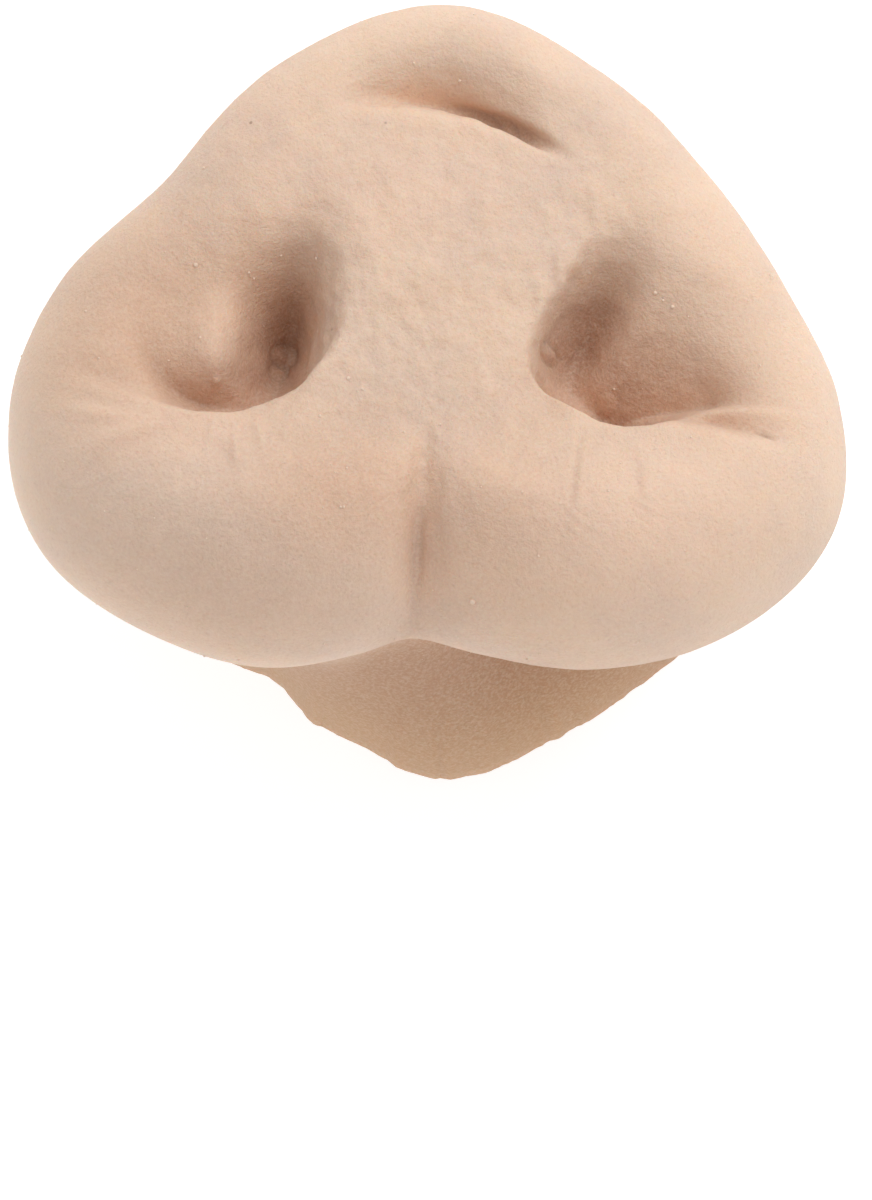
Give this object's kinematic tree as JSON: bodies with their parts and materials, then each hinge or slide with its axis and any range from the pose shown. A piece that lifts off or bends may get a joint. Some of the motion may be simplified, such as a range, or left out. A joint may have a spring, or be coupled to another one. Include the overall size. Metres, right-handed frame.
{
  "type": "pig snout fake nose",
  "caption": "Hollow latex pig snout with two blind nostrils and an open back, glued over the wearer's nose as a costume piece.",
  "frame": {"origin": "middle of the footprint's box, on the plane of the glued edge that it rests on", "axes": "+Z out of the snout's disc, away from the wearer's face; +Y towards the wearer's forehead; +X to the right as one looks at the disc"},
  "size_m": [0.054, 0.0466, 0.0364],
  "materials": {
    "latex": "matte, unpainted, slightly powdery skin-coloured latex"
  },
  "bodies": {
    "root": {"snout_shell": "latex"}
  },
  "joints": []
}
